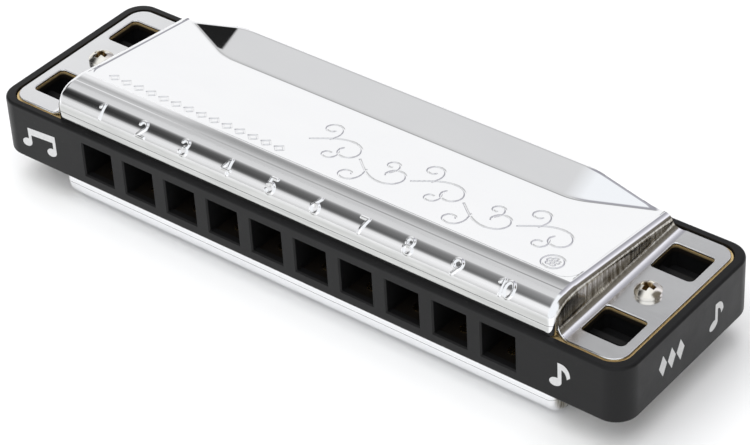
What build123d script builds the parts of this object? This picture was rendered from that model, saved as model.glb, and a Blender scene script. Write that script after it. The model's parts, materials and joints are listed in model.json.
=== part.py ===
from build123d import *
import os
from math import asin, cos, pi, radians, sin, sqrt

# A ten-hole diatonic harmonica, as it comes apart on a bench.
# Millimetres. +X runs from the low notes to the high ones: hole 1 is at -X and hole 10 at +X.
# The player's side is -Y and the open backs of the covers face +Y. +Z is up.
# Everything is modelled about the comb's middle plane and lifted at the end, so that the
# lowest line of the lower cover is at Z = 0.

# --- comb -----------------------------------------------------------------------------------
comb_length = 102.0
comb_depth = 28.9
comb_height = 8.5
comb_corner_radius = 3.2
comb_edge_radius = 0.4

hole_count = 10
hole_pitch = 7.29
hole_width = 5.0
hole_height = 5.1
hole_bevel = 0.2
chamber_end_gap = 1.3          # from a reed's tip to the back wall of its chamber

# --- reed plates ----------------------------------------------------------------------------
plate_thickness = 1.0
plate_length = 99.2
plate_depth = 26.5
plate_corner_radius = 2.4
recess_gap = 0.15              # all round a plate, between it and the comb's rim

# --- covers ---------------------------------------------------------------------------------
sheet = 0.4
flange_length = 99.0
flange_depth = 26.2
flange_corner_radius = 2.3
flange_proud = 0.05            # the flange's top stands this far above the comb's rim
cover_top = 9.05               # the ridge's height above the middle plane
wall_x = 40.0                  # outer face of a cover's end wall
wall_top_radius = 1.0
foot_bend_radius = 1.2
skirt_y = -13.6
shoulder_radius = 3.2
shoulder_tilt = 10.0           # degrees of tilt where the tight shoulder eases off
brow_radius = 7.0              # of the flatter stretch between the shoulder and the crease
hollow_crown_share = 0.2       # the hollow has no crease, so its arc runs on to this tilt
crease_drop = 0.07
crease_y = -10.3
ridge_y = -8.5
panel_front_y = -8.1
panel_drop = 0.15              # how far the top panel is pressed below the ridge
panel_slope = 0.113
flare_y = 7.2                  # where the open back starts to lift
rear_y = 12.1
flare_half_width = 29.0
flare_foot_x = 38.8            # where the lift has died away at the rear edge

window_x = 44.9
window_y = 7.4
window_length = 6.2
window_depth = 5.7
window_corner_radius = 0.7

# --- cover screws and nuts ------------------------------------------------------------------
screw_x = 44.8
screw_radius = 0.98
screw_hole_radius = 1.15
screw_tip_below_nut = 0.4
head_radius = 1.75
head_side_height = 0.5
head_height = 1.3
nut_radius = 2.31              # across the corners, for 4 mm across the flats
nut_height = 1.6
nut_bore_radius = 1.0

# --- reeds ----------------------------------------------------------------------------------
reed_width = 2.2
reed_thickness = 0.16
longest_reed = 17.4
shortest_reed = 10.6
draw_reed_shortening = 0.5     # a draw reed is a little shorter than its blow partner
reed_root_y = -9.6
reed_rest_gap = 0.03           # between a resting tongue and the face of its plate
slot_clearance = 0.05
root_gap = 0.02
pad_length = 3.0
pad_width = 3.0
pad_thickness = 0.3
rivet_radius = 0.55
rivet_hole_radius = 0.56
rivet_head_radius = 0.9
rivet_head_height = 0.3
rivet_tail_radius = 0.8
rivet_tail_height = 0.15

# --- worked out -----------------------------------------------------------------------------
comb_face = comb_height / 2
flange_top = comb_face + flange_proud
plate_outer = flange_top - sheet
plate_inner = plate_outer - plate_thickness
crease_height = cover_top - crease_drop
panel_front_height = cover_top - panel_drop


def hole_x(index):
    """Centre of hole 0 to 9, counted from the low notes' end."""
    return (index - (hole_count - 1) / 2) * hole_pitch


def reed_length(index, draw=False):
    """Reeds get evenly shorter from the low notes to the high ones."""
    share = index / (hole_count - 1)
    length = longest_reed + share * (shortest_reed - longest_reed)
    return length - draw_reed_shortening if draw else length


def block(x0, x1, y0, y1, z0, z1):
    """A box between two corners."""
    centre = ((x0 + x1) / 2, (y0 + y1) / 2, (z0 + z1) / 2)
    return Pos(*centre) * Box(x1 - x0, y1 - y0, z1 - z0)


def rounded_slab(length, depth, radius, z0, z1):
    """A slab with rounded upright corners, centred on the Z axis."""
    outline = RectangleRounded(length, depth, radius)
    return Pos(0, 0, z0) * extrude(outline, z1 - z0)


def drill(x, y, radius, z0, z1):
    """An upright cylinder to cut a hole with, or to make a pin of."""
    return Pos(x, y, (z0 + z1) / 2) * Cylinder(radius, z1 - z0)


def window_cutters(grow, z0, z1):
    """The four end windows, each grown by the same amount all round."""
    outline = RectangleRounded(
        window_length + 2 * grow, window_depth + 2 * grow, window_corner_radius
    )
    window = Pos(0, 0, z0) * extrude(outline, z1 - z0)
    return [
        Pos(side_x * window_x, side_y * window_y, 0) * window
        for side_x in (-1, 1)
        for side_y in (-1, 1)
    ]


# --- comb -----------------------------------------------------------------------------------
pocket_floor = 0.5
pocket_grow = 0.2
pocket_rib_width = 0.9
pocket_rib_drop = 0.9


def mouth_hole():
    """The square mouth opening through the comb's front wall, with bevelled edges."""
    front = -comb_depth / 2
    inner = -(plate_depth / 2 + recess_gap)
    hole = block(-hole_width / 2, hole_width / 2, front, inner, -hole_height / 2, hole_height / 2)
    wide = Rectangle(hole_width + 2 * hole_bevel, hole_height + 2 * hole_bevel)
    narrow = Rectangle(hole_width, hole_height)
    outer_plane = Plane(origin=(0, front, 0), x_dir=(1, 0, 0), z_dir=(0, -1, 0))
    bevel = loft([outer_plane * wide, outer_plane.offset(-hole_bevel) * narrow])
    return hole + bevel


def make_comb():
    """The moulded body: rim, plate recesses, ten chambers, end pockets and bolt holes."""
    comb = rounded_slab(comb_length, comb_depth, comb_corner_radius, -comb_face, comb_face)
    rim_edges = comb.edges().group_by(Axis.Z)[0] + comb.edges().group_by(Axis.Z)[-1]
    comb = fillet(rim_edges, comb_edge_radius)

    recess = rounded_slab(
        plate_length + 2 * recess_gap,
        plate_depth + 2 * recess_gap,
        plate_corner_radius + recess_gap,
        plate_inner,
        comb_face,
    )
    comb -= [recess, Rot(180, 0, 0) * recess]

    chamber_front = -(plate_depth / 2 + recess_gap)
    opening = mouth_hole()
    for index in range(hole_count):
        x = hole_x(index)
        back = reed_root_y + reed_length(index) + chamber_end_gap
        chamber = block(
            x - hole_width / 2, x + hole_width / 2, chamber_front, back, -plate_inner, plate_inner
        )
        comb -= [Pos(x, 0, 0) * opening, chamber]

    rib = block(
        -window_length, window_length, -pocket_rib_width / 2, pocket_rib_width / 2,
        pocket_floor, plate_inner - pocket_rib_drop,
    )
    for pocket in window_cutters(pocket_grow, pocket_floor, plate_inner):
        centre = pocket.center()
        hollow = pocket - Pos(centre.X, centre.Y, 0) * rib
        comb -= [hollow, Rot(180, 0, 0) * hollow]

    for side in (-1, 1):
        comb -= drill(side * screw_x, 0, screw_hole_radius, -comb_face, comb_face)
    return comb


# --- reed plates ----------------------------------------------------------------------------
def make_reed_plate(draw):
    """An upper plate with a slot and a rivet hole for each reed, and the end windows."""
    plate = rounded_slab(
        plate_length, plate_depth, plate_corner_radius, plate_inner, plate_outer
    )
    half_slot = reed_width / 2 + slot_clearance
    for index in range(hole_count):
        x = hole_x(index)
        tip_y = reed_root_y + reed_length(index, draw)
        plate -= block(
            x - half_slot, x + half_slot,
            reed_root_y - slot_clearance, tip_y + slot_clearance,
            plate_inner, plate_outer,
        )
        plate -= drill(x, rivet_y, rivet_hole_radius, plate_inner, plate_outer)
    for side in (-1, 1):
        plate -= drill(side * screw_x, 0, screw_hole_radius, plate_inner, plate_outer)
    plate -= window_cutters(0, plate_inner, plate_outer)
    return plate


# --- covers ---------------------------------------------------------------------------------
def panel_height(y):
    """Height of the top panel's plane, which falls towards the back."""
    return panel_front_height - panel_slope * (y - panel_front_y)


flare_slope = (cover_top - panel_height(flare_y)) / (rear_y - flare_y)


def flare_height(y):
    """Height of the lifted rear facet's plane."""
    return panel_height(flare_y) + flare_slope * (y - flare_y)


def cover_section(inset, overrun, flared):
    """The end view of the space under a cover's skin, as a face in the YZ plane.

    inset is the distance inside the outer skin. overrun carries the open bottom and the open
    back past the real edges, for the hollow that is cut out. flared lifts the open back.
    """
    tilt = radians(shoulder_tilt)
    brow_y = skirt_y + shoulder_radius - shoulder_radius * sin(tilt) + brow_radius * sin(tilt)
    crease_tilt = asin((brow_y - crease_y) / brow_radius)
    brow_z = crease_height - brow_radius * cos(crease_tilt)
    shoulder_y = skirt_y + shoulder_radius
    shoulder_z = brow_z + (brow_radius - shoulder_radius) * cos(tilt)

    def on_arc(y, z, radius, angle):
        return (y - (radius - inset) * sin(angle), z + (radius - inset) * cos(angle))

    bottom = plate_outer - overrun
    foot = (skirt_y + inset, bottom)
    waist = on_arc(shoulder_y, shoulder_z, shoulder_radius, pi / 2)
    cheek = on_arc(shoulder_y, shoulder_z, shoulder_radius, (pi / 2 + tilt) / 2)
    temple = on_arc(shoulder_y, shoulder_z, shoulder_radius, tilt)
    crown_tilt = crease_tilt if inset == 0 else tilt * hollow_crown_share
    brow = on_arc(brow_y, brow_z, brow_radius, (tilt + crown_tilt) / 2)
    crown = on_arc(brow_y, brow_z, brow_radius, crown_tilt)

    panel_inset = inset * sqrt(1 + panel_slope**2)
    flare_inset = inset * sqrt(1 + flare_slope**2)
    rear = rear_y + overrun
    path = []
    if inset == 0:
        path.append((ridge_y, cover_top))
    path.append((panel_front_y, panel_height(panel_front_y) - panel_inset))
    if flared:
        turn_y = flare_y + (flare_inset - panel_inset) / (panel_slope + flare_slope)
        path.append((turn_y, panel_height(turn_y) - panel_inset))
        path.append((rear, flare_height(rear) - flare_inset))
    else:
        path.append((rear, panel_height(rear) - panel_inset))
    path.append((rear, bottom))

    edges = [
        Line(foot, waist),
        ThreePointArc(waist, cheek, temple),
        ThreePointArc(temple, brow, crown),
        Polyline(crown, *path, foot),
    ]
    return Plane.YZ * make_face(edges)


def flare_end_plane(side, inset):
    """The plane of the three-cornered facet that closes the lift at one end."""
    corner = Vector(side * flare_half_width, flare_y, panel_height(flare_y))
    foot = Vector(side * flare_foot_x, rear_y, panel_height(rear_y))
    peak = Vector(side * flare_half_width, rear_y, cover_top)
    normal = (foot - corner).cross(peak - corner).normalized()
    if normal.Z < 0:
        normal = -normal
    return Plane(origin=corner - normal * inset, z_dir=normal)


def cover_body(inset, overrun, corner_radius):
    """The solid bounded by a cover's skin, or by the hollow under it."""
    half = wall_x - inset
    plain = extrude(cover_section(inset, overrun, False), half, both=True)
    lifted = extrude(cover_section(inset, overrun, True), half, both=True)
    for side in (-1, 1):
        lifted = split(lifted, bisect_by=flare_end_plane(side, inset), keep=Keep.BOTTOM)
    body = plain + lifted
    top_edges = [
        edge
        for edge in body.edges()
        if abs(abs(edge.center().X) - half) < 1e-3
        and edge.center().Z > comb_face + 0.5
        and edge.bounding_box().size.X < 1e-3
        and edge.center().Y < rear_y + overrun - 1e-3
        and edge.bounding_box().size.Y > 1e-3
    ]
    return fillet(top_edges, corner_radius)


def foot_bend(radius, base, inner_x):
    """The bend from an end wall out to the flange, as a bar along Y at the +X end."""
    centre_x = wall_x + foot_bend_radius
    centre_z = flange_top + foot_bend_radius
    low = (centre_x, centre_z - radius)
    middle = (centre_x - radius * sin(pi / 4), centre_z - radius * cos(pi / 4))
    high = (centre_x - radius, centre_z)
    outline = make_face([
        ThreePointArc(low, middle, high),
        Polyline(high, (inner_x, centre_z), (inner_x, base), (centre_x, base), low),
    ])
    length = rear_y + flange_depth / 2
    bar = extrude(Plane.XZ * outline, length)
    return Pos(0, rear_y, 0) * bar


def make_cover():
    """An upper cover: skirt, shoulder, pressed panel, flared open back, end walls, flanges."""
    skin = cover_body(0, 0, wall_top_radius)
    hollow = cover_body(sheet, 3.0, wall_top_radius - sheet)

    flange = rounded_slab(
        flange_length, flange_depth, flange_corner_radius, plate_outer, flange_top
    )
    flange_start = wall_x + foot_bend_radius
    flange -= block(-flange_start, flange_start, -comb_depth, comb_depth, 0, comb_height)
    flange -= window_cutters(0, plate_outer, flange_top)
    for side in (-1, 1):
        flange -= drill(side * screw_x, 0, screw_hole_radius, plate_outer, flange_top)

    bend = foot_bend(foot_bend_radius, plate_outer, wall_x - sheet)
    under_bend = foot_bend(foot_bend_radius + sheet, plate_outer - sheet, wall_x - 2 * sheet)
    bends = [bend, mirror(bend, about=Plane.YZ)]
    under_bends = [under_bend, mirror(under_bend, about=Plane.YZ)]

    skirt_trim = block(
        -comb_length / 2, comb_length / 2, skirt_y - 1, -flange_depth / 2, 0, comb_face
    )
    cover = skin + bends + flange
    cover -= [hollow, *under_bends, skirt_trim]
    return cover


# --- screws and nuts ------------------------------------------------------------------------
head_foot_bevel = 0.12
cross_width = 0.72
cross_length = 2.3
cross_depth = 0.9


def make_screw():
    """A cross-recess pan-head screw, its head on the upper flange and its tip below the nut."""
    rise = head_height - head_side_height
    dome_radius = (head_radius**2 + rise**2) / (2 * rise)
    dome_half_angle = asin(head_radius / dome_radius) / 2
    dome_middle = (
        dome_radius * sin(dome_half_angle),
        head_height - dome_radius * (1 - cos(dome_half_angle)),
    )
    profile = make_face([
        Polyline(
            (0, head_height), (0, 0), (head_radius - head_foot_bevel, 0),
            (head_radius, head_foot_bevel), (head_radius, head_side_height),
        ),
        ThreePointArc((head_radius, head_side_height), dome_middle, (0, head_height)),
    ])
    head = revolve(Plane.XZ * profile, Axis.Z)
    above = Plane.XY.offset(head_height + 0.01)
    floor = Plane.XY.offset(head_height - cross_depth)
    for turn in (0, 90):
        wide = Rot(0, 0, turn) * Rectangle(cross_length, cross_width)
        narrow = Rot(0, 0, turn) * Rectangle(cross_length * 0.45, cross_width * 0.7)
        head -= loft([above * wide, floor * narrow])
    tip = -(flange_top + nut_height + screw_tip_below_nut)
    shank = drill(0, 0, screw_radius, tip, flange_top)
    shank = chamfer(shank.edges().group_by(Axis.Z)[0], 0.25)
    return Pos(0, 0, flange_top) * head + shank


def make_nut():
    """A hexagonal nut against the lower flange."""
    top = -flange_top
    blank = Pos(0, 0, top - nut_height) * extrude(RegularPolygon(nut_radius, 6), nut_height)
    cone = Pos(0, 0, top - nut_height / 2) * Sphere(nut_radius * 1.04)
    nut = blank & cone
    return nut - drill(0, 0, nut_bore_radius, top - nut_height, top)


# --- reeds ----------------------------------------------------------------------------------
pad_middle_y = reed_root_y - root_gap - pad_length / 2
rivet_y = pad_middle_y


def tongue(index, face, draw):
    """One reed tongue lying against the underside of a plate, its root at reed_root_y."""
    x = hole_x(index)
    top = face - reed_rest_gap
    return block(
        x - reed_width / 2, x + reed_width / 2,
        reed_root_y, reed_root_y + reed_length(index, draw),
        top - reed_thickness, top,
    )


def pads(face):
    """The ten thick root ends that are riveted to the underside of a plate."""
    outline = RectangleRounded(pad_width, pad_length, 0.4)
    pad = Pos(0, pad_middle_y, face - pad_thickness) * extrude(outline, pad_thickness)
    pad -= drill(0, rivet_y, rivet_hole_radius, face - pad_thickness, face)
    return [Pos(hole_x(index), 0, 0) * pad for index in range(hole_count)]


def rivets(face):
    """The ten rivets: a head under each pad, a shank through the plate, and a spread tail."""
    head_top = face - pad_thickness
    tail_base = face + plate_thickness
    head = drill(0, rivet_y, rivet_head_radius, head_top - rivet_head_height, head_top)
    head = fillet(head.edges().group_by(Axis.Z)[0], rivet_head_height * 0.6)
    shank = drill(0, rivet_y, rivet_radius, head_top, tail_base)
    tail = drill(0, rivet_y, rivet_tail_radius, tail_base, tail_base + rivet_tail_height)
    rivet = head + shank + tail
    return [Pos(hole_x(index), 0, 0) * rivet for index in range(hole_count)]


# --- assembly -------------------------------------------------------------------------------
def write(name, shape):
    """Lift a piece, or a group of separate solids, to its place and write it."""
    group = shape if isinstance(shape, list) else [shape]
    solids = [solid for item in group for solid in item.solids()]
    lifted = [Pos(0, 0, cover_top) * solid for solid in solids]
    whole = lifted[0] if len(lifted) == 1 else Compound(children=lifted)
    export_step(whole, f"parts/{name}.step")
    print(name, len(lifted), "solid(s)")


os.makedirs("parts", exist_ok=True)

write("comb", make_comb())
write("upper_reed_plate", make_reed_plate(draw=False))
write("lower_reed_plate", mirror(make_reed_plate(draw=True), about=Plane.XY))

cover = make_cover()
write("upper_cover", cover)
write("lower_cover", Rot(0, 180, 0) * cover)

screw = make_screw()
nut = make_nut()
write("cover_screws", [Pos(side * screw_x, 0, 0) * screw for side in (-1, 1)])
write("cover_nuts", [Pos(side * screw_x, 0, 0) * nut for side in (-1, 1)])

# The blow reeds hang under the upper plate, inside the chambers. The draw reeds hang under
# the lower plate, outside the chambers, so both kinds lie below their plate's lower face.
blow_face = plate_inner
draw_face = -plate_outer
write("blow_reed_pads", pads(blow_face))
write("draw_reed_pads", pads(draw_face))
write("blow_reed_rivets", rivets(blow_face))
write("draw_reed_rivets", rivets(draw_face))
for index in range(hole_count):
    write(f"blow_reed_{index + 1:02d}", tongue(index, blow_face, draw=False))
    write(f"draw_reed_{index + 1:02d}", tongue(index, draw_face, draw=True))
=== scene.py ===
"""Looks of a ten-hole diatonic harmonica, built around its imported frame.

Shapes are worked out in millimetres about the comb's middle plane: +X runs from the low notes
to the high ones, -Y is the player's side and +Z is up. place() lifts them into the row frame,
in metres. Each cover is one pressed sheet: a hood with a skirt, a shoulder that carries the
hole numbers, a pressed top panel and a flared open back, and at each end a wall, a foot bend
and a flange with two windows and a screw hole.
"""

import json
from math import asin, cos, hypot, pi, radians, sin

import bpy
import numpy as np
from mathutils import Matrix, Vector
from mathutils.geometry import delaunay_2d_cdt


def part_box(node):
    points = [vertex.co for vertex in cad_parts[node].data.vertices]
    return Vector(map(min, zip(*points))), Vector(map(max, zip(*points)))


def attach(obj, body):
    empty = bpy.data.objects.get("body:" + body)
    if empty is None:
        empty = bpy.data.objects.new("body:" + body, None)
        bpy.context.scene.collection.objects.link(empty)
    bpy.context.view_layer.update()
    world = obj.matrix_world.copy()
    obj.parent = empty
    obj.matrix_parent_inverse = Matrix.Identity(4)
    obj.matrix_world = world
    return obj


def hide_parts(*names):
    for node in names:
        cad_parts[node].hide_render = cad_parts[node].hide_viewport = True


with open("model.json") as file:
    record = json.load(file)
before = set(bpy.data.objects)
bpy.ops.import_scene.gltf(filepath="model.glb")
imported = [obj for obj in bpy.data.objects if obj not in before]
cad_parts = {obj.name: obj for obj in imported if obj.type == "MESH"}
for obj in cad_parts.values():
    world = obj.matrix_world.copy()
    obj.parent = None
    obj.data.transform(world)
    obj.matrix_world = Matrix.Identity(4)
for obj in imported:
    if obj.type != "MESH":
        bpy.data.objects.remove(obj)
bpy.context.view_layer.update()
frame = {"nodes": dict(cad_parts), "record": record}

MM = 0.001
comb_low, comb_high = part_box("comb")
cover_low, cover_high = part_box("upper_cover")
middle = (comb_low.z + comb_high.z) / 2 / MM
comb_face = (comb_high.z - comb_low.z) / 2 / MM
comb_front = comb_low.y / MM
comb_end = comb_high.x / MM
INSTRUMENT = "instrument"

# --- cover, in millimetres ------------------------------------------------------------------
SHEET = 0.4
RIM = 0.11                     # how far the sheet's cut edges are rounded
WALL_X = 40.45                 # outer face of the end walls
WALL_RADIUS = 1.15             # between the hood and the end walls
FOOT_RADIUS = 1.5              # of the bend from the end wall to the flange
HOOD_X = WALL_X - WALL_RADIUS
RIDGE_HEIGHT = cover_high.z / MM - middle
SKIRT_Y = cover_low.y / MM
FLANGE_TOP = comb_face + 0.05
FLANGE_X = cover_high.x / MM - 0.15     # lets the plate's edge show past the flange
FLANGE_Y = cover_high.y / MM - 0.12
FLANGE_CORNER = 2.3
SHOULDER_RADIUS = 3.2
SHOULDER_TILT = radians(10)    # where the tight shoulder eases into the brow
BROW_RADIUS = 7.0
CREASE_Y = -10.38              # the fine crease behind the brow
CREASE_SLOPE = 0.08
PANEL_FRONT = -8.1
PANEL_HALF = 38.95
PANEL_CORNER = 2.0
PANEL_PRESS = 0.1              # depth of the pressed panel
PANEL_EDGE = 0.35              # width of the slope round it
PANEL_SLOPE = -0.113
FLARE_Y = 7.2                  # the fold along the foot of the flared back
REAR_Y = 12.1                  # the sheet's rear edge
FLARE_HALF = 28.9              # half the length of the flare's flat part
FLARE_FOOT = 38.8              # where the flare ends along the rear edge
FLARE_ROUND = 1.8              # how far the folds beside its flat part are rounded
FLARE_CREASE = 0.10            # the same for the fold along its foot, as a share of its depth
ROLL_START = 0.87              # the share of its depth where its rear edge starts to roll over
ROLL = 6.15                    # how fast it rolls over
ROLL_PEAK = 0.911              # the highest share of the full rise that leaves
ROLL_DROP = 0.04               # keeps the rolled edge under the ridge
WINDOW_X = 44.9
WINDOW_Y = 7.4
WINDOW_SIZE = (6.2, 5.7)
WINDOW_CORNER = 0.7
SCREW_X = 44.8
SCREW_HOLE = 1.15
SCREW_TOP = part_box("cover_screws")[1].z
DOME_RADIUS = 2.31             # of the screws' heads
RECESS_RADIUS = 1.15           # to the tips of their cross recesses

# Slope of the sheet from the crease back to the panel, at the places where it changes.
TOP_SLOPES = [
    (CREASE_Y, CREASE_SLOPE),
    (-10.32, -0.01),
    (-10.24, -0.01),
    (-10.14, 0.075),
    (-8.70, 0.0),
    (-8.55, -0.02),
    (-8.40, PANEL_SLOPE),
    (REAR_Y, PANEL_SLOPE),
]

HOLE_COUNT = 10
HOLE_PITCH = 7.29


def place(points):
    """Millimetres about the comb's middle plane, as metres in the row frame."""
    points = np.asarray(points, float)
    return (points + np.array([0, 0, middle])) * MM


def smoothstep(low, high, value):
    """0 below low, 1 above high, and an even S between."""
    t = np.clip((value - low) / (high - low), 0, 1)
    return t * t * (3 - 2 * t)


def soft_min(a, b, reach):
    """The lesser of two values, rounded where they are within reach of each other."""
    h = np.maximum(reach - np.abs(a - b), 0) / reach
    return np.minimum(a, b) - h * h * reach / 4


def soft_max(a, b, reach):
    """The greater of two values, rounded where they are within reach of each other."""
    return -soft_min(-np.asarray(a), -np.asarray(b), reach)


# --- the hood's surface -----------------------------------------------------------------------
fine_y = np.linspace(CREASE_Y, REAR_Y, 6001)
fine_slope = np.interp(fine_y, *zip(*TOP_SLOPES))
fine_step = fine_y[1] - fine_y[0]
fine_z = np.concatenate([[0], np.cumsum((fine_slope[1:] + fine_slope[:-1]) / 2 * fine_step)])
fine_z += RIDGE_HEIGHT - fine_z.max()

crease_tilt = asin(CREASE_SLOPE / hypot(1, CREASE_SLOPE))
shoulder_y = SKIRT_Y + SHOULDER_RADIUS
brow_y = shoulder_y + (BROW_RADIUS - SHOULDER_RADIUS) * sin(SHOULDER_TILT)
brow_radius = (brow_y - CREASE_Y) / sin(crease_tilt)
brow_z = fine_z[0] - brow_radius * cos(crease_tilt)
shoulder_z = brow_z + (brow_radius - SHOULDER_RADIUS) * cos(SHOULDER_TILT)

# Distances along the hood's section, from the foot of the skirt.
SHOULDER_START = shoulder_z - comb_face
BROW_START = SHOULDER_START + SHOULDER_RADIUS * (pi / 2 - SHOULDER_TILT)
TOP_START = BROW_START + brow_radius * (SHOULDER_TILT - crease_tilt)


def top_height(x, y):
    """Height of the hood's top: frame, pressed panel and flared back."""
    x = np.abs(x)
    z = np.interp(y, fine_y, fine_z)
    across = x - (PANEL_HALF - PANEL_CORNER)
    along = PANEL_FRONT + PANEL_CORNER - y
    outside = np.hypot(np.maximum(across, 0), np.maximum(along, 0))
    outside = outside + np.minimum(np.maximum(across, along), 0) - PANEL_CORNER
    z = z - PANEL_PRESS * (1 - smoothstep(0, PANEL_EDGE, outside))

    # The flared back is flat between two folds. Beyond them it swings round to the corners of
    # the end walls. Its rear edge rolls over.
    back = (y - FLARE_Y) / (REAR_Y - FLARE_Y)
    back = back - ROLL * np.maximum(back - ROLL_START, 0) ** 2
    beyond = soft_max(x - FLARE_HALF, 0, FLARE_ROUND) / (FLARE_FOOT - FLARE_HALF)
    rise = np.clip(soft_max(back - beyond, 0, FLARE_CREASE), 0, 1)
    floor = np.interp(REAR_Y, fine_y, fine_z) - PANEL_PRESS
    return z + rise / ROLL_PEAK * (RIDGE_HEIGHT - ROLL_DROP - floor)


def hood(x, v):
    """Points and outward normals of the hood, at x and at distance v along its section."""
    skirt = np.minimum(v, SHOULDER_START)
    turn = np.clip((v - SHOULDER_START) / SHOULDER_RADIUS, 0, pi / 2 - SHOULDER_TILT)
    ease = np.clip((v - BROW_START) / brow_radius, 0, SHOULDER_TILT - crease_tilt)
    tilt = pi / 2 - turn - ease
    tight = tilt > SHOULDER_TILT
    radius = np.where(tight, SHOULDER_RADIUS, brow_radius)
    y = np.where(tight, shoulder_y, brow_y) - radius * np.sin(tilt)
    z = np.where(tight, shoulder_z, brow_z) + radius * np.cos(tilt)
    low = v < SHOULDER_START
    z = np.where(low, comb_face + skirt, z)
    normal = np.stack([0 * tilt, -np.sin(tilt), np.cos(tilt)], axis=-1)

    top = v > TOP_START
    top_y = CREASE_Y + np.maximum(v - TOP_START, 0)
    step = 0.004
    dz_dx = (top_height(x + step, top_y) - top_height(x - step, top_y)) / (2 * step)
    dz_dy = (top_height(x, top_y + step) - top_height(x, top_y - step)) / (2 * step)
    top_normal = np.stack([-dz_dx, -dz_dy, 1 + 0 * dz_dx], axis=-1)
    top_normal /= np.linalg.norm(top_normal, axis=-1, keepdims=True)
    y = np.where(top, top_y, y)
    z = np.where(top, top_height(x, top_y), z)
    normal = np.where(top[..., None], top_normal, normal)
    return np.stack([x + 0 * y, y, z], axis=-1), normal


def section_at(y):
    """Distance along the hood's section of a place on its top."""
    return TOP_START + y - CREASE_Y


# --- strokes of the numbers and of the ornament -------------------------------------------------
def arc(centre_x, centre_y, radius_x, radius_y, start, end, count=14):
    """Points on an elliptical arc, its angles in degrees, anticlockwise from +X."""
    angles = np.radians(np.linspace(start, end, count))
    return [(centre_x + radius_x * cos(a), centre_y + radius_y * sin(a)) for a in angles]


# Each digit is a list of strokes in a box one unit high, its left side at x = 0.
DIGITS = {
    "0": (0.62, [arc(0.31, 0.5, 0.31, 0.5, 0, 360, 30)]),
    "1": (0.30, [[(0.0, 0.78), (0.24, 1.0), (0.24, 0.0)]]),
    "2": (0.60, [arc(0.30, 0.72, 0.28, 0.28, 165, -25) + [(0.02, 0.0), (0.60, 0.0)]]),
    "3": (0.58, [arc(0.28, 0.75, 0.25, 0.25, 160, -90) + arc(0.28, 0.26, 0.29, 0.26, 90, -160)]),
    "4": (0.62, [[(0.46, 0.0), (0.46, 1.0), (0.0, 0.30), (0.62, 0.30)]]),
    "5": (0.58, [[(0.54, 1.0), (0.12, 1.0), (0.06, 0.56)] + arc(0.27, 0.32, 0.30, 0.32, 125, -150)]),
    "6": (0.60, [[(0.50, 1.0), (0.10, 0.50)] + arc(0.30, 0.30, 0.29, 0.30, 150, 510, 24)]),
    "7": (0.58, [[(0.0, 1.0), (0.58, 1.0), (0.20, 0.0)]]),
    "8": (0.58, [arc(0.29, 0.76, 0.23, 0.24, 0, 360, 22), arc(0.29, 0.26, 0.29, 0.26, 0, 360, 22)]),
    "9": (0.60, [arc(0.30, 0.70, 0.29, 0.30, -30, 330, 24) + [(0.50, 0.50), (0.10, 0.0)]]),
}
DIGIT_HEIGHT = 2.05
DIGIT_GAP = 0.28
DIGIT_MIDDLE = SHOULDER_START + SHOULDER_RADIUS * radians(43)
DIGIT_REACH = 0.30             # half the width of a pressed stroke
DIGIT_RISE = 0.17


def number_strokes(text, centre_x):
    """The strokes of a number, centred over its hole, as (x, distance along the section)."""
    widths = [DIGITS[c][0] * DIGIT_HEIGHT for c in text]
    left = centre_x - (sum(widths) + DIGIT_GAP * (len(text) - 1)) / 2
    strokes = []
    for character, width in zip(text, widths):
        for stroke in DIGITS[character][1]:
            strokes.append([
                (left + x * DIGIT_HEIGHT, DIGIT_MIDDLE + (y - 0.5) * DIGIT_HEIGHT)
                for x, y in stroke
            ])
        left += width + DIGIT_GAP
    return strokes


def scroll(x, y, heading, length, curl_in, curl_out, count=60):
    """A line whose curvature runs evenly from one curl to the other, in radians a millimetre."""
    points = [(x, y)]
    step = length / count
    for index in range(count):
        heading += (curl_in + (curl_out - curl_in) * (index + 0.5) / count) * step
        x += cos(heading) * step
        y += sin(heading) * step
        points.append((x, y))
    return points


ORNAMENT_REACH = 0.19
ORNAMENT_DEPTH = -0.07


def ornament_strokes():
    """Engraving on the top panel: a vine of scrolls, a row of lozenges and a ringed rosette."""
    lines = []
    for index in range(5):
        x = -5.6 + index * 8.2
        y = -2.3
        side = 1 if index % 2 == 0 else -1
        lines.append(scroll(x, y, side * 0.62, 14.5, side * 0.10, -side * 0.90))
        lines.append(scroll(x + 2.2, y + side * 1.5, side * 1.2, 8.2, side * 0.1, side * 1.4))
        lines.append(scroll(x + 4.6, y + side * 0.5, -side * 0.9, 6.0, -side * 0.1, -side * 1.8))
    for index in range(14):
        x = -35.6 + index * 2.2
        y = -6.75
        lines.append([(x - 0.75, y), (x, y + 0.7), (x + 0.75, y), (x, y - 0.7), (x - 0.75, y)])
    lines.append(arc(35.2, -6.1, 1.45, 1.45, 0, 360, 40))
    for petal in range(5):
        turn = radians(90 + 72 * petal)
        centre = (35.2 + 0.55 * cos(turn), -6.1 + 0.55 * sin(turn))
        lines.append(arc(*centre, 0.32, 0.32, 0, 360, 14))
    return [[(x, section_at(y)) for x, y in line] for line in lines]


def segments(strokes):
    """All strokes' segments as two arrays of end points."""
    starts = [p for stroke in strokes for p in stroke[:-1]]
    ends = [p for stroke in strokes for p in stroke[1:]]
    return np.array(starts, float), np.array(ends, float)


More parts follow.
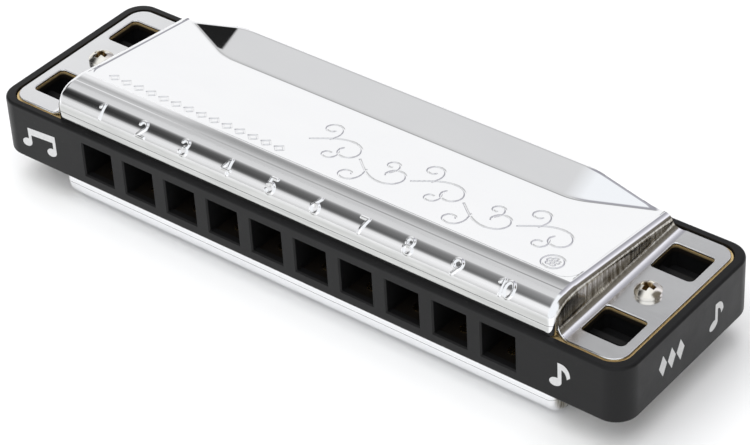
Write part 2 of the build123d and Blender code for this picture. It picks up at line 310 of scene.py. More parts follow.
def nearest_stroke(points, starts, ends):
    """Distance from each point to the nearest segment, and the direction away from it."""
    distance = np.full(len(points), 1e9)
    away = np.zeros((len(points), 2))
    run = ends - starts
    square = np.maximum((run ** 2).sum(1), 1e-12)
    for first in range(0, len(points), 4000):
        p = points[first:first + 4000]
        to_start = p[:, None] - starts[None]
        t = np.clip((to_start * run[None]).sum(2) / square, 0, 1)
        gap = to_start - t[..., None] * run[None]
        length = np.sqrt((gap ** 2).sum(2))
        best = length.argmin(1)
        rows = np.arange(len(p))
        distance[first:first + 4000] = length[rows, best]
        away[first:first + 4000] = gap[rows, best] / np.maximum(length[rows, best], 1e-9)[:, None]
    return distance, away


class Fold:
    """A line that needs a finer mesh beside it."""

    def __init__(self, strokes, reach):
        self.starts, self.ends = segments(strokes)
        self.reach = reach

    def distance(self, points):
        return nearest_stroke(points, self.starts, self.ends)[0]


class Relief(Fold):
    """Raised or sunk strokes on the hood."""

    def __init__(self, strokes, reach, rise):
        super().__init__(strokes, reach)
        self.rise = rise

    def height(self, points):
        """Height at each point, and its slope along x and along the section."""
        distance, away = nearest_stroke(points, self.starts, self.ends)
        share = np.clip(distance / self.reach, 0, 1)
        height = self.rise * (1 - share ** 2) ** 2
        slope = -4 * self.rise * share * (1 - share ** 2) / self.reach
        return height, away * slope[:, None]


# --- meshing the hood ---------------------------------------------------------------------------
def spaced(stops):
    """Values from stop to stop, in even steps no longer than each stop's own step."""
    values = [stops[0][0]]
    for (start, _), (end, step) in zip(stops, stops[1:]):
        count = max(1, round((end - start) / step))
        values.extend(start + (end - start) * (i + 1) / count for i in range(count))
    return np.array(values)


WALL_STEPS = 4
SLIT_TOP = FLANGE_TOP + FOOT_RADIUS - comb_face     # on the skirt, where the foot bend starts
section_rows = spaced([
    (0, 0),
    (SLIT_TOP, 0.45),
    (SHOULDER_START, (SHOULDER_START - SLIT_TOP) / WALL_STEPS),
    (BROW_START, 0.36),
    (TOP_START, 0.2),
    (section_at(-10.14), 0.04),
    (section_at(-8.80), 0.34),
    (section_at(-8.0), 0.06),
    (section_at(6.8), 0.82),
    (section_at(7.7), 0.1),
    (section_at(11.3), 0.45),
    (section_at(REAR_Y), 0.1),
])
hood_half = [0, 27.2, 33, 37.6, HOOD_X]
hood_steps = [0, 0.8, 0.6, 0.5, 0.16]
right_columns = spaced(list(zip(hood_half, hood_steps)))
hood_columns = np.concatenate([-right_columns[:0:-1], right_columns])
LEVELS = 3


def hood_cells(features):
    """Cells (left, bottom, size) on a lattice, split where a feature passes."""
    cells = [
        (i << LEVELS, j << LEVELS)
        for i in range(len(hood_columns) - 1)
        for j in range(len(section_rows) - 1)
    ]
    cells = np.array(cells)
    done = []
    size = 1 << LEVELS
    for level in range(LEVELS):
        low = lattice_point(cells)
        high = lattice_point(cells + size)
        centre = (low + high) / 2
        margin = np.hypot(*((high - low) / 2).T)
        split = np.zeros(len(cells), bool)
        for feature, depth in features:
            if level < depth:
                split |= feature.distance(centre) < feature.reach + margin
        done.append((cells[~split], size))
        size //= 2
        steps = np.array([(0, 0), (size, 0), (0, size), (size, size)])
        cells = (cells[split][:, None] + steps[None]).reshape(-1, 2)
    done.append((cells, size))
    return done


def lattice_point(index):
    """(x, distance along the section) of lattice places."""
    index = np.asarray(index, float) / (1 << LEVELS)
    x = np.interp(index[..., 0], np.arange(len(hood_columns)), hood_columns)
    v = np.interp(index[..., 1], np.arange(len(section_rows)), section_rows)
    return np.stack([x, v], axis=-1)


def hood_mesh(features):
    """The hood's (x, v) points and its faces, with a point wherever a finer cell has one."""
    groups = hood_cells(features)
    used = set()
    for cells, size in groups:
        for i, j in cells.tolist():
            used.update([(i, j), (i + size, j), (i, j + size), (i + size, j + size)])
    order = {key: n for n, key in enumerate(sorted(used))}
    faces = []
    for cells, size in groups:
        for i, j in cells.tolist():
            ring = [(i + k, j) for k in range(size)]
            ring += [(i + size, j + k) for k in range(size)]
            ring += [(i + size - k, j + size) for k in range(size)]
            ring += [(i, j + size - k) for k in range(size)]
            faces.append([order[key] for key in ring if key in order])
    return lattice_point(np.array(list(order))), faces


class Skin:
    """One side of a sheet: points, normals and faces, joined where their points meet."""

    def __init__(self):
        self.points, self.normals, self.plain, self.plain_normals = [], [], [], []
        self.faces = []
        self.found = {}

    def add(self, points, normals, plain=None, plain_normals=None):
        """Adds points, and returns the index of each. plain is the surface without relief."""
        plain = points if plain is None else plain
        plain_normals = normals if plain_normals is None else plain_normals
        keys = np.round(np.asarray(plain, float) * 1e4).astype(int).tolist()
        index = []
        for key, *row in zip(keys, points, normals, plain, plain_normals):
            key = tuple(key)
            if key not in self.found:
                self.found[key] = len(self.points)
                for column, value in zip(
                    (self.points, self.normals, self.plain, self.plain_normals), row
                ):
                    column.append(value)
            index.append(self.found[key])
        return index

    def face(self, corners):
        corners = [c for k, c in enumerate(corners) if c != corners[k - 1]]
        if len(set(corners)) > 2:
            self.faces.append(corners)

    def grid(self, points, normals):
        """A patch of rows by columns, given as arrays."""
        rows, columns = points.shape[:2]
        index = self.add(points.reshape(-1, 3), normals.reshape(-1, 3))
        index = np.array(index).reshape(rows, columns)
        for r in range(rows - 1):
            for c in range(columns - 1):
                ring = [index[r, c], index[r, c + 1], index[r + 1, c + 1], index[r + 1, c]]
                self.face([int(k) for k in ring])


def rounded_outline(centre_x, centre_y, length, depth, radius, count=6):
    """A rectangle with round corners, anticlockwise."""
    outline = []
    for turn, (side_x, side_y) in enumerate([(1, 1), (-1, 1), (-1, -1), (1, -1)]):
        corner = (
            centre_x + side_x * (length / 2 - radius),
            centre_y + side_y * (depth / 2 - radius),
        )
        outline += arc(*corner, radius, radius, 90 * turn, 90 * turn + 90, count)
    return outline


def flange_patch(skin, side, foot_line):
    """The flat flange outside the foot bend, with its windows and its screw hole."""
    start = WALL_X + FOOT_RADIUS
    corner_x = FLANGE_X - FLANGE_CORNER
    corner_y = FLANGE_Y - FLANGE_CORNER
    outline = [(start, y) for y in foot_line[::-1]]
    outline.append((start, -FLANGE_Y))
    outline += arc(corner_x, -corner_y, FLANGE_CORNER, FLANGE_CORNER, -90, 0, 12)
    outline += arc(corner_x, corner_y, FLANGE_CORNER, FLANGE_CORNER, 0, 90, 12)
    outline.append((start, FLANGE_Y))
    holes = [
        rounded_outline(WINDOW_X, sign * WINDOW_Y, *WINDOW_SIZE, WINDOW_CORNER)
        for sign in (-1, 1)
    ]
    holes.append(arc(SCREW_X, 0, SCREW_HOLE, SCREW_HOLE, 0, 348.75, 32))
    points, edges = [], []
    for loop in [outline, *holes]:
        first = len(points)
        points += loop
        edges += [(first + k, first + (k + 1) % len(loop)) for k in range(len(loop))]
    made, _, triangles, _, _, _ = delaunay_2d_cdt(
        [Vector(p) for p in points], edges, [], 1, 1e-6
    )
    flat = [(side * p.x, p.y, FLANGE_TOP) for p in made]
    index = skin.add(flat, [(0, 0, 1)] * len(flat))
    for triangle in triangles:
        x = sum(made[k].x for k in triangle) / 3
        y = sum(made[k].y for k in triangle) / 3
        in_window = (
            abs(x - WINDOW_X) < WINDOW_SIZE[0] / 2 and abs(abs(y) - WINDOW_Y) < WINDOW_SIZE[1] / 2
        )
        if in_window and inside_hole(x, y, holes):
            continue
        if hypot(x - SCREW_X, y) < SCREW_HOLE * 0.98:
            continue
        ring = [index[k] for k in triangle]
        skin.face(ring if side > 0 else ring[::-1])


def inside_hole(x, y, holes):
    """True if a point is inside one of the closed outlines."""
    for loop in holes:
        crossings = 0
        for (x0, y0), (x1, y1) in zip(loop, loop[1:] + loop[:1]):
            if (y0 > y) != (y1 > y) and x < x0 + (y - y0) / (y1 - y0) * (x1 - x0):
                crossings += 1
        if crossings % 2:
            return True
    return False


def end_patch(skin, side):
    """The end of a cover: its rounded corner, wall, foot bend and flange.

    The bend widens from the wall's ends, at foot_line, to the flange's ends, at flange_line.
    """
    rows = section_rows
    edge, true_normal = hood(np.full(len(rows), HOOD_X), rows)
    tilt = np.arctan2(-true_normal[:, 1], true_normal[:, 2])
    steady = np.where(rows > TOP_START, np.clip(tilt, 0, crease_tilt), tilt)
    fade = smoothstep(TOP_START + 1.2, TOP_START, rows)
    steady = np.where(rows > TOP_START, crease_tilt * fade, steady)
    inward = np.stack([0 * steady, np.sin(steady), -np.cos(steady)], axis=-1)
    out = np.array([side, 0, 0])

    def corner(theta):
        points = edge + inward * WALL_RADIUS * (1 - cos(theta))
        points[:, 0] = HOOD_X + WALL_RADIUS * sin(theta)
        points[:, 0] *= side
        normal = true_normal * np.array([side, 1, 1]) * cos(theta) + out * sin(theta)
        return points, normal / np.linalg.norm(normal, axis=1, keepdims=True)

    turns = np.linspace(0, pi / 2, 8)
    columns = [corner(theta) for theta in turns]
    columns = columns if side > 0 else columns[::-1]
    skin.grid(
        np.stack([p for p, _ in columns], axis=1), np.stack([n for _, n in columns], axis=1)
    )

    wall = rows >= SHOULDER_START - 1e-9
    top_line = corner(pi / 2)[0][wall]
    foot_z = FLANGE_TOP + FOOT_RADIUS
    foot_line = top_line.copy()
    foot_line[:, 2] = foot_z
    flange_line = foot_line.copy()
    end_y = np.where(foot_line[:, 1] > 0, foot_line[-1, 1], -foot_line[0, 1])
    flange_line[:, 1] *= FLANGE_Y / end_y
    sheet_columns, sheet_normals = [], []
    for share in np.linspace(0, 1, WALL_STEPS + 1):
        sheet_columns.append(top_line * (1 - share) + foot_line * share)
        sheet_normals.append(np.tile(out.astype(float), (len(top_line), 1)))
    for turn in np.linspace(0, pi / 2, 8)[1:]:
        bend = foot_line + (flange_line - foot_line) * turn / (pi / 2)
        bend[:, 0] = side * (WALL_X + FOOT_RADIUS * (1 - cos(turn)))
        bend[:, 2] = foot_z - FOOT_RADIUS * sin(turn)
        sheet_columns.append(bend)
        normal = np.array([side * cos(turn), 0, sin(turn)])
        sheet_normals.append(np.tile(normal, (len(bend), 1)))
    if side < 0:
        sheet_columns.reverse()
        sheet_normals.reverse()
    skin.grid(np.stack(sheet_columns, axis=1), np.stack(sheet_normals, axis=1))
    flange_patch(skin, side, flange_line[1:-1, 1].tolist())


def open_rim(skin, points, normals):
    """The skin's open edges, and at each point on them the direction out of the sheet."""
    sides = {(a, b) for face in skin.faces for a, b in zip(face, face[1:] + face[:1])}
    edges = sorted((a, b) for a, b in sides if (b, a) not in sides)
    outward = np.zeros_like(points)
    for a, b in edges:
        run = points[b] - points[a]
        for k in (a, b):
            outward[k] += np.cross(run / np.linalg.norm(run), normals[k])
    length = np.linalg.norm(outward, axis=1, keepdims=True)
    return edges, outward / np.maximum(length, 1e-9)


def sheet_mesh(name, skin):
    """A closed sheet, SHEET thick, under the skin, with rounded cut edges, and its normals."""
    points, normals, plain, plain_normals = (
        np.array(rows, float)
        for rows in (skin.points, skin.normals, skin.plain, skin.plain_normals)
    )
    edges, outward = open_rim(skin, points, normals)
    ring = sorted({k for edge in edges for k in edge})
    in_ring = {k: n for n, k in enumerate(ring)}
    vertices = [
        points - RIM * outward,
        plain - SHEET * plain_normals - RIM * outward,
        points[ring] - RIM * normals[ring],
        points[ring] - (SHEET - RIM) * normals[ring],
    ]
    lean = 0.45                # how far the normals of a rounded rim lean to its two faces
    vertex_normals = [
        normals,
        -plain_normals,
        outward[ring] + lean * normals[ring],
        outward[ring] - lean * normals[ring],
    ]
    inner = len(points)
    upper_ring = 2 * inner
    lower_ring = upper_ring + len(ring)
    polygons = [list(face) for face in skin.faces]
    polygons += [[k + inner for k in face[::-1]] for face in skin.faces]
    for a, b in edges:
        upper_a, upper_b = upper_ring + in_ring[a], upper_ring + in_ring[b]
        lower_a, lower_b = lower_ring + in_ring[a], lower_ring + in_ring[b]
        polygons.append([b, a, upper_a, upper_b])
        polygons.append([upper_b, upper_a, lower_a, lower_b])
        polygons.append([lower_b, lower_a, a + inner, b + inner])
    mesh = bpy.data.meshes.new(name)
    mesh.from_pydata(place(np.concatenate(vertices)).tolist(), [], polygons)
    mesh.shade_smooth()
    vertex_normals = np.concatenate(vertex_normals)
    return mesh, vertex_normals / np.linalg.norm(vertex_normals, axis=1, keepdims=True)


def make_cover(name, reliefs, folds, upper):
    """A cover's pressed sheet. The lower one is the same pressing turned about Y."""
    features = [(relief, LEVELS) for relief in reliefs] + folds
    plane, faces = hood_mesh(features)
    base, base_normals = hood(plane[:, 0], plane[:, 1])
    points, normals = base.copy(), base_normals.copy()
    along = np.cross(base_normals, np.array([1.0, 0, 0]))
    along /= np.linalg.norm(along, axis=1, keepdims=True)
    across = np.cross(along, base_normals)
    for relief in reliefs:
        height, slope = relief.height(plane)
        points += base_normals * height[:, None]
        normals -= across * slope[:, :1] + along * slope[:, 1:]
    normals /= np.linalg.norm(normals, axis=1, keepdims=True)

    skin = Skin()
    index = skin.add(points, normals, base, base_normals)
    for face in faces:
        skin.face([index[k] for k in face])
    for side in (-1, 1):
        end_patch(skin, side)
    mesh, mesh_normals = sheet_mesh(name, skin)
    cover = bpy.data.objects.new(name, mesh)
    bpy.context.scene.collection.objects.link(cover)
    if not upper:
        centre = Vector((0, 0, middle * MM))
        turn = Matrix.Rotation(pi, 4, "Y")
        mesh.transform(Matrix.Translation(centre) @ turn @ Matrix.Translation(-centre))
        mesh_normals = mesh_normals * np.array([-1, 1, -1])
    mesh.normals_split_custom_set_from_vertices(mesh_normals.tolist())
    return cover


# --- printed marks on the comb --------------------------------------------------------------------
INK = 0.008                    # thickness of the printed marks
INK_STEP = 0.0004              # how far each outline of a mark stands above the one before
INK_ROOT = 0.02                # how far they reach into the comb


def disc(x, y, radius_x, radius_y, lean, count=24):
    """A closed oval, its long axis leaning by an angle in radians."""
    return [
        (
            x + radius_x * cos(a) * cos(lean) - radius_y * sin(a) * sin(lean),
            y + radius_x * cos(a) * sin(lean) + radius_y * sin(a) * cos(lean),
        )
        for a in np.linspace(0, 2 * pi, count, endpoint=False)
    ]


def note(x, height, flagged):
    """Outlines of a musical note, its head's left side near x, its stem as high as height."""
    head = disc(x + 0.85, 0.62, 0.92, 0.64, radians(22))
    stem = [(x + 1.2, 0.7), (x + 1.75, 0.7), (x + 1.75, height), (x + 1.2, height)]
    shapes = [head, stem]
    if flagged:
        outer = arc(x + 1.75, height - 1.6, 1.25, 1.6, 90, 0, 9)
        inner = arc(x + 1.75, height - 2.3, 0.8, 1.4, 10, 90, 9)
        shapes.append(outer + inner)
    return shapes


def beamed_pair(width, height):
    """Two notes joined by a sloping beam."""
    right = width - 1.75
    shapes = note(0.0, height - 0.45, False) + note(right, height - 0.05, False)
    beam = [
        (1.2, height - 1.5), (right + 1.75, height - 1.1),
        (right + 1.75, height), (1.2, height - 0.4),
    ]
    return shapes + [beam]


def lozenge(x, y, half_width, half_height):
    """The corners of a lozenge about (x, y)."""
    return [(x - half_width, y), (x, y - half_height), (x + half_width, y), (x, y + half_height)]


def printed(name, shapes, origin, right_axis):
    """A thin film of ink in upright outlines, set on a comb face. Its face looks out of it."""
    right = np.array(right_axis, float)
    up = np.array([0, 0, 1.0])
    out = np.cross(right, up)
    vertices, faces = [], []
    for lift, shape in enumerate(shapes):
        first = len(vertices)
        count = len(shape)
        film = INK + INK_STEP * lift
        for depth in (film, -INK_ROOT):
            vertices += [np.array(origin) + right * x + up * z + out * depth for x, z in shape]
        faces.append([first + k for k in range(count)])
        faces.append([first + count + k for k in range(count)][::-1])
        for k in range(count):
            after = (k + 1) % count
            faces.append([first + count + k, first + count + after, first + after, first + k])
    mesh = bpy.data.meshes.new(name)
    mesh.from_pydata(place(vertices).tolist(), [], faces)
    mark = bpy.data.objects.new(name, mesh)
    bpy.context.scene.collection.objects.link(mark)
    return mark


# --- materials ------------------------------------------------------------------------------------
class Shader:
    """The node tree of a material or a world, built one node at a time."""

    def __init__(self, owner):
        owner.use_nodes = True
        self.owner = owner
        self.tree = owner.node_tree
        self.tree.nodes.clear()

    def node(self, kind, settings=None, **inputs):
        made = self.tree.nodes.new("ShaderNode" + kind)
        for key, value in (settings or {}).items():
            setattr(made, key, value)
        for key, value in inputs.items():
            self.feed(made.inputs[key.replace("_", " ")], value)
        return made

    def feed(self, socket, value):
        if isinstance(value, bpy.types.NodeSocket):
            self.tree.links.new(value, socket)
        else:
            socket.default_value = value

    def math(self, operation, first, second=0.0, third=0.0):
        made = self.node("Math", {"operation": operation})
        for socket, value in zip(made.inputs, (first, second, third)):
            self.feed(socket, value)
        return made.outputs[0]

    def stretch(self, scale):
        """Object coordinates multiplied along each axis."""
        mapping = self.node("Mapping", Vector=self.node("TexCoord").outputs["Object"])
        mapping.inputs["Scale"].default_value = scale
        return mapping.outputs[0]

    def noise(self, scale, detail=3.0, roughness=0.55):
        """Noise whose size along each axis is about one over the scale, in metres."""
        made = self.node("TexNoise", Vector=self.stretch(scale), Detail=detail, Roughness=roughness)
        made.inputs["Scale"].default_value = 1.0
        return made.outputs["Fac"]

    def remap(self, value, low, high, to_low, to_high):
        made = self.node("MapRange", {"clamp": True}, Value=value)
        for name, number in zip(
            ("From Min", "From Max", "To Min", "To Max"), (low, high, to_low, to_high)
        ):
            made.inputs[name].default_value = number
        return made.outputs[0]

    def mix(self, share, first, second):
        """A colour between two colours."""
        made = self.node("Mix", {"data_type": "RGBA"})
        self.feed(made.inputs["Factor"], share)
        self.feed(made.inputs["A"], first)
        self.feed(made.inputs["B"], second)
        return made.outputs["Result"]

    def bump(self, height, distance, strength=1.0, normal=None):
        made = self.node("Bump", Height=height, Distance=distance, Strength=strength)
        if normal is not None:
            self.feed(made.inputs["Normal"], normal)
        return made.outputs[0]

    def finish(self, **inputs):
        surface = self.node("BsdfPrincipled", **inputs)
        out = self.node("OutputMaterial")
        self.tree.links.new(surface.outputs[0], out.inputs[0])
        return self.owner


def new_shader(name):
    """An empty material to build."""
    return Shader(bpy.data.materials.new(name))


def grey(value):
    """A neutral colour."""
    return (value, value, value, 1)


# Draw marks on the end walls: their dark olive-brown is a painted reflection.
WALL_MARKS_AND_REFLECTION = ((0.20, 0.17, 0.12, 1), (0.80, 0.78, 0.73, 1))
# Streaks on the upper skirt, greyer than the chrome: painted shade.
SKIRT_STREAKS_AND_SHADE = ((0.53, 0.535, 0.525, 1), (0.63, 0.635, 0.625, 1))
FLANGE_START = (WALL_X + 0.05) * MM
FLANGE_FULL = (WALL_X + 0.65) * MM


def chrome_material():
    """Polished chrome over pressed brass sheet.

    It has fine polishing lines and smudges, draw marks down the end walls in a painted dark
    olive-brown reflection, faint streaks along the upper skirt greyed by painted shade, and
    duller flanges.
    """
    s = new_shader("cover_chrome")
    smudge = s.noise((90, 160, 90), 4)
    lines = s.noise((60, 9000, 9000), 2, 0.7)
    hairs = s.noise((140, 22000, 22000), 1)
    drawn = s.noise((900, 2900, 140), 3, 0.7)
    facing = s.node("SeparateXYZ", Vector=s.node("NewGeometry").outputs["Normal"])
    on_wall = s.remap(s.math("ABSOLUTE", facing.outputs["X"]), 0.70, 0.97, 0, 1)
    roughness = s.math("ADD", s.remap(smudge, 0.35, 0.75, 0.045, 0.10),
                       s.remap(hairs, 0.62, 0.75, 0.0, 0.05))
    roughness = s.math("MULTIPLY_ADD", on_wall, 0.14, roughness)
    place_of = s.node("SeparateXYZ", Vector=s.node("TexCoord").outputs["Object"])
    on_flange = s.remap(s.math("ABSOLUTE", place_of.outputs["X"]), FLANGE_START, FLANGE_FULL, 0, 1)
    roughness = s.math("MULTIPLY_ADD", on_flange, 0.12, roughness)
    colour = s.mix(smudge, (0.90, 0.905, 0.925, 1), (0.95, 0.955, 0.965, 1))
    # Painted reflection: the end walls' draw marks are tinted dark olive-brown.
    wall_marks_and_reflection = s.mix(s.remap(drawn, 0.38, 0.62, 0, 1), *WALL_MARKS_AND_REFLECTION)
    colour = s.mix(on_wall, colour, wall_marks_and_reflection)
    # Painted shade: the upper cover's skirt, facing the player, is greyed, with faint streaks.
    on_skirt = s.remap(facing.outputs["Y"], -0.88, -0.97, 0, 1)
    on_upper = s.math("GREATER_THAN", place_of.outputs["Z"], middle * MM)
    on_skirt = s.math("MULTIPLY", on_skirt, on_upper)
    streak = s.noise((120, 900, 1500), 3, 0.6)
    skirt = s.mix(s.remap(streak, 0.35, 0.65, 0, 1), *SKIRT_STREAKS_AND_SHADE)
    colour = s.mix(on_skirt, colour, skirt)
    normal = s.bump(lines, 0.0000012)
    normal = s.bump(s.math("MULTIPLY", drawn, on_wall), 0.00005, 1.0, normal)
    return s.finish(Base_Color=colour, Metallic=1.0, Roughness=roughness, Normal=normal)


def plastic_material():
    """Satin black moulding: fine spark-eroded grain, faint sink marks, handled sheen."""
    s = new_shader("comb_plastic")
    grain = s.noise((5200, 5200, 5200), 3, 0.6)
    cloud = s.noise((140, 260, 260), 3)
    colour = s.mix(cloud, grey(0.0055), (0.0095, 0.0095, 0.0102, 1))
    specks = s.remap(s.noise((2600, 2600, 2600), 1), 0.72, 0.8, 0, 1)
    colour = s.mix(s.math("MULTIPLY", specks, 0.35), colour, grey(0.03))
    roughness = s.remap(cloud, 0.3, 0.7, 0.34, 0.44)
    normal = s.bump(grain, 0.000008)
    normal = s.bump(cloud, 0.00004, 1.0, normal)
    return s.finish(
        Base_Color=colour, Roughness=roughness, Normal=normal, Specular_IOR_Level=0.19
    )


GOLD_LOW = (0.62, 0.43, 0.17, 1)
GOLD_HIGH = (0.95, 0.74, 0.40, 1)
# Near-black painted shade for the brass's hollows.
PAINTED_SHADE_COLOUR = (0.016, 0.012, 0.009, 1)
PLATE_TOP = FLANGE_TOP - SHEET  # the plate's outer face, measured like comb_face


def brass_material(name, grain_scale, roughness_range, painted_shade=0.0):
    """Rolled or filed brass: a grain along one axis, stains, and painted shade in its depths."""
    s = new_shader(name)
    grain = s.noise(grain_scale, 3, 0.65)
    stain = s.noise((180, 180, 180), 4)
    share = s.math("MULTIPLY_ADD", grain, 0.5, s.math("MULTIPLY", stain, 0.5))
    colour = s.mix(share, GOLD_LOW, GOLD_HIGH)
    # Painted shade darkens the faces that look into the chambers, and the windows' walls below the
    # plate's top edge, to near-black; they are rougher too.
    height = s.node("SeparateXYZ", Vector=s.node("TexCoord").outputs["Object"]).outputs["Z"]
    facing = s.node("SeparateXYZ", Vector=s.node("NewGeometry").outputs["Normal"]).outputs["Z"]
    inward = s.math("MULTIPLY", s.math("SIGN", s.math("SUBTRACT", height, middle * MM)), facing)
    depth = s.math("ABSOLUTE", s.math("SUBTRACT", height, middle * MM))
    deep = s.remap(depth, (PLATE_TOP - 0.1) * MM, (PLATE_TOP - 0.4) * MM, 0, 1)
    inside = s.math("MAXIMUM", s.remap(inward, -0.3, -0.8, 0, 1), deep)
    inside = s.math("MULTIPLY", inside, painted_shade)
    colour = s.mix(inside, colour, PAINTED_SHADE_COLOUR)
    roughness = s.remap(s.math("ADD", grain, stain), 0.7, 1.3, *roughness_range)
    roughness = s.math("MULTIPLY_ADD", inside, 0.25, roughness)
    normal = s.bump(grain, 0.000004)
    metal = 1.0 - 0.35 * painted_shade
    return s.finish(Base_Color=colour, Metallic=metal, Roughness=roughness, Normal=normal)


def nickel_material():
    """Warm nickel plating, bright on the dome, with painted brown shade in the screws' cross
    recesses.
    """
    s = new_shader("screw_nickel")
    wear = s.noise((1500, 1500, 1500), 4)
    turned = s.noise((400, 400, 16000), 1)
    colour = s.mix(wear, (0.82, 0.77, 0.67, 1), (1.0, 0.98, 0.94, 1))
    # The recess is whatever lies under the head's dome near the screw's axis.
    x, y, z = s.node("SeparateXYZ", Vector=s.node("TexCoord").outputs["Object"]).outputs
    across = s.math("SUBTRACT", s.math("ABSOLUTE", x), SCREW_X * MM)
    square = s.math("ADD", s.math("POWER", across, 2), s.math("POWER", y, 2))
    dome = s.math("SUBTRACT", SCREW_TOP, s.math("DIVIDE", square, 2 * DOME_RADIUS * MM))
    sunk = s.remap(s.math("SUBTRACT", dome, z), 0.00006, 0.00030, 0, 1)
    near = s.remap(square, ((RECESS_RADIUS + 0.1) * MM) ** 2, (RECESS_RADIUS * MM) ** 2, 0, 1)
    # Painted shade: the cross recesses are tinted dark brown.
    recess_shade = s.math("MULTIPLY", sunk, near)
    colour = s.mix(recess_shade, colour, (0.34, 0.26, 0.15, 1))
    roughness = s.remap(wear, 0.3, 0.7, 0.13, 0.22)
    normal = s.bump(s.math("ADD", turned, s.math("MULTIPLY", wear, 1.5)), 0.000004)
    return s.finish(Base_Color=colour, Metallic=1.0, Roughness=roughness, Normal=normal)


def ink_material():
    """White pad-printed ink, a little uneven, with pinholes."""
    s = new_shader("print_white")
    cover = s.noise((1800, 1800, 1800), 3)
    pinholes = s.remap(s.noise((9000, 9000, 9000), 1), 0.70, 0.78, 0, 0.7)
    colour = s.mix(cover, grey(0.50), grey(0.70))
    colour = s.mix(pinholes, colour, grey(0.12))
    return s.finish(
        Base_Color=colour, Roughness=s.remap(cover, 0.3, 0.7, 0.4, 0.6),
        Normal=s.bump(cover, 0.000006),
    )


def smooth_node(node):
    """Shades a CAD piece smooth across its small facets, and sharp at its real edges."""
    mesh = node.data
    if "custom_normal" in mesh.attributes:
        mesh.attributes.remove(mesh.attributes["custom_normal"])
    mesh.shade_smooth()
    node.modifiers.new("weld", "WELD").merge_threshold = 1e-6
    split = node.modifiers.new("sharp_edges", "EDGE_SPLIT")
    split.split_angle = radians(32)
    weighted = node.modifiers.new("flat_faces", "WEIGHTED_NORMAL")
    weighted.weight = 100


def paint(obj, material):
    """Gives a piece one material in every slot it has."""
    slots = obj.data.materials
    if len(slots) == 0:
        slots.append(material)
    for k in range(len(slots)):
        slots[k] = material


# --- the pieces -----------------------------------------------------------------------------------
def hole_x(index):
    """The middle of a mouth hole, counted from 0 at the low end."""
    return (index - (HOLE_COUNT - 1) / 2) * HOLE_PITCH


def build_covers(chrome):
    """Both covers, and what they stand for."""
    numbers = [
        stroke
        for index in range(HOLE_COUNT)
        for stroke in number_strokes(str(index + 1), hole_x(index) + 0.15)
    ]
    vine = Relief(ornament_strokes(), ORNAMENT_REACH, ORNAMENT_DEPTH)
    flare = [
        [(side * FLARE_FOOT, section_at(REAR_Y)), (side * FLARE_HALF, section_at(FLARE_Y)),
         (side * FLARE_HALF, section_at(REAR_Y))]
        for side in (-1, 1)
    ]
    flare_fold = (Fold(flare, 0.9), 2)
    bend = arc(PANEL_HALF - PANEL_CORNER, 0, PANEL_CORNER, PANEL_CORNER, -90, 0, 8)
    corners = [
        [(side * x, section_at(PANEL_FRONT + PANEL_CORNER + y)) for x, y in bend]
        for side in (-1, 1)
    ]
    corner_fold = (Fold(corners, 0.5), 2)
    number_relief = Relief(numbers, DIGIT_REACH, DIGIT_RISE)
    folds = [flare_fold, corner_fold]
    upper = make_cover("upper_cover_shell", [number_relief, vine], folds, True)
    lower = make_cover("lower_cover_shell", [vine], folds, False)
    for shell, node in ((upper, "upper_cover"), (lower, "lower_cover")):
        paint(shell, chrome)
        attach(shell, INSTRUMENT)
        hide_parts(node)


def build_marks(ink):
    """White marks on the comb: notes at the front, and a note and lozenges on the high end."""
    base = -1.95
    marks = [
        printed("front_mark_low", beamed_pair(6.3, 3.5), (-46.8, comb_front, base), (1, 0, 0)),
        printed("front_mark_high", note(0.0, 3.7, True), (40.4, comb_front, base), (1, 0, 0)),
        printed("end_mark_note", note(0.0, 3.6, True), (comb_end, 4.2, base), (0, 1, 0)),
        printed(
            "end_mark_lozenges",
            [lozenge(x, 1.9, 0.85, 1.6) for x in (0.9, 2.8, 4.7)],
            (comb_end, -7.0, base), (0, 1, 0),
        ),
    ]
    for mark in marks:
        paint(mark, ink)
        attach(mark, INSTRUMENT)


def dress_nodes(materials):
    """Materials and smooth shading for the CAD pieces that stay."""
    slots = {row["node"]: row["material_slot"] for row in frame["record"]["subparts"]}
    for name, node in frame["nodes"].items():
        smooth_node(node)
        paint(node, materials[slots[name]])


# --- studio ---------------------------------------------------------------------------------------
def build_studio():
    """A white floor, and one soft lamp that metal doesn't mirror."""
    scene = bpy.context.scene
    floor_mesh = bpy.data.meshes.new("floor")
    half = 4.0
    floor_mesh.from_pydata(
        [(-half, -half, 0), (half, -half, 0), (half, half, 0), (-half, half, 0)],
        [], [(0, 1, 2, 3)],
    )
    floor = bpy.data.objects.new("floor", floor_mesh)
    scene.collection.objects.link(floor)
    s = new_shader("floor_white")
    tone = s.noise((3, 3, 3), 2)
    paint(floor, s.finish(Base_Color=s.mix(tone, grey(0.80), grey(0.84)), Roughness=0.6,
                          Specular_IOR_Level=0.2))

    lamp_data = bpy.data.lights.new("key", "AREA")
    lamp_data.shape = "RECTANGLE"
    lamp_data.size = 1.6
    lamp_data.size_y = 1.4
    lamp_data.energy = 15.0
    lamp = bpy.data.objects.new("key", lamp_data)
    lamp.location = (-0.15, -0.2, 1.05)
    lamp.rotation_euler = (-lamp.location).to_track_quat("-Z", "Y").to_euler()
    lamp.visible_glossy = False
    scene.collection.objects.link(lamp)


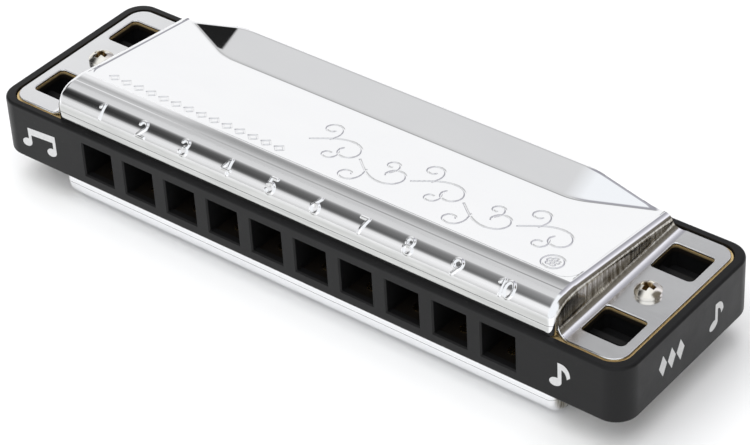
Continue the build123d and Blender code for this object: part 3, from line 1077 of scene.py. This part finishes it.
# What the covers mirror at each angle, in degrees from the horizon behind them (0) over the top
# (90) to the player (180): towards the low end, and towards the high end.
LOW_SIDE = [
    (0, 1.0), (36, 1.0), (43, 0.6), (46, 0.30), (49, 0.34), (53, 0.6), (58, 0.52), (63, 0.66),
    (74, 0.70), (91, 0.72), (96, 0.36), (102, 0.12), (109, 0.035), (122, 0.015), (130, 0.035),
    (138, 0.06), (146, 0.55), (153, 0.8), (180, 0.8),
]
HIGH_SIDE = [
    (0, 1.0), (36, 1.0), (42, 0.42), (45.5, 0.26), (49, 0.45), (53, 0.68), (60, 0.66), (74, 0.70),
    (91, 0.72), (98, 0.38), (106, 0.30), (118, 0.24), (130, 0.17), (136, 0.3), (143, 0.95),
    (156, 1.0), (168, 0.85), (180, 0.8),
]
PALE_PANEL = grey(0.90)         # brightens the low end's flange
BLACK_FLAG = grey(0.015)        # darkens the flare's low corner
SKY = (0.96, 0.98, 1.0, 1)      # brightens the flare's high corner
LILAC = (0.36, 0.355, 0.39, 1)  # first tone round the bends of the high end wall
BRIGHT_EDGE = (1.0, 0.99, 1.05, 1)
DARK_SIDE = (0.16, 0.145, 0.12, 1)


def build_world():
    """The room as the covers mirror it, told by direction: bright walls and darker flags."""
    world = bpy.data.worlds.new("studio")
    bpy.context.scene.world = world
    s = Shader(world)
    axes = s.node("SeparateXYZ", Vector=s.node("TexCoord").outputs["Generated"])
    x, y, z = axes.outputs
    angle = s.math("MULTIPLY", s.math("ARCTAN2", z, y), 180 / pi)

    def ramp(stops):
        made = s.node("ValToRGB", Fac=s.math("DIVIDE", angle, 180))
        band = made.color_ramp
        while len(band.elements) < len(stops):
            band.elements.new(0.5)
        for element, (degree, value) in zip(band.elements, stops):
            element.position = degree / 180
            element.color = grey(value)
        return made.outputs["Color"]

    def across(start, full):
        """0 to 1 as the direction's X goes from start to full."""
        return s.remap(x, start, full, 0, 1)

    def about(start, full):
        """0 to 1 as the angle goes from start to full."""
        return s.remap(angle, start, full, 0, 1)

    def overlap(*shares):
        total = shares[0]
        for share in shares[1:]:
            total = s.math("MULTIPLY", total, share)
        return total

    light = s.mix(across(-0.62, -0.44), ramp(LOW_SIDE), ramp(HIGH_SIDE))
    light = s.mix(overlap(across(-0.57, -0.59), about(50.4, 46), about(37, 40)), light, PALE_PANEL)
    corner = overlap(across(-0.77, -0.80), across(-0.94, -0.90))
    corner = overlap(corner, about(45, 57.6), about(104.4, 93.6))
    light = s.mix(corner, light, BLACK_FLAG)

    # Towards the high end it differs between what lies behind the covers and what is overhead.
    overhead = s.mix(across(-0.46, -0.14), light, SKY)
    bend = s.mix(across(-0.39, -0.30), light, LILAC)
    rise = across(-0.30, 0.34)
    behind = s.mix(overlap(rise, rise), bend, BRIGHT_EDGE)
    light = s.mix(about(64.8, 75.6), behind, overhead)
    light = s.mix(overlap(across(0.40, 0.50), about(108, 93.6)), light, DARK_SIDE)
    background = s.node("Background", Color=light, Strength=1.0)
    out = s.node("OutputWorld")
    s.tree.links.new(background.outputs[0], out.inputs[0])


def build_camera():
    """A long lens from the player's right, above the high notes, with a slight roll."""
    scene = bpy.context.scene
    data = bpy.data.cameras.new("camera")
    data.sensor_width = 36
    data.lens = 130.4
    data.clip_start, data.clip_end = 0.01, 10
    camera = bpy.data.objects.new("camera", data)
    camera.location = (0.18438, -0.21502, 0.21912)
    azimuth, elevation, roll = radians(40.23), radians(37.15), radians(-3.50)
    back = Vector((sin(azimuth) * cos(elevation), -cos(azimuth) * cos(elevation), sin(elevation)))
    level = (-back).to_track_quat("-Z", "Y").to_matrix()
    camera.rotation_euler = (level @ Matrix.Rotation(roll, 3, "Z")).to_euler()
    scene.collection.objects.link(camera)
    scene.camera = camera
    scene.view_settings.view_transform = "Standard"


materials = {
    "comb_plastic": plastic_material(),
    "cover_chrome": chrome_material(),
    "plate_brass": brass_material("plate_brass", (120, 5200, 2600), (0.40, 0.55), 1.0),
    "reed_brass": brass_material("reed_brass", (6800, 300, 300), (0.16, 0.30)),
    "rivet_brass": brass_material("rivet_brass", (2600, 2600, 600), (0.2, 0.32)),
    "screw_nickel": nickel_material(),
}
dress_nodes(materials)
build_covers(materials["cover_chrome"])
build_marks(ink_material())
build_studio()
build_world()
build_camera()
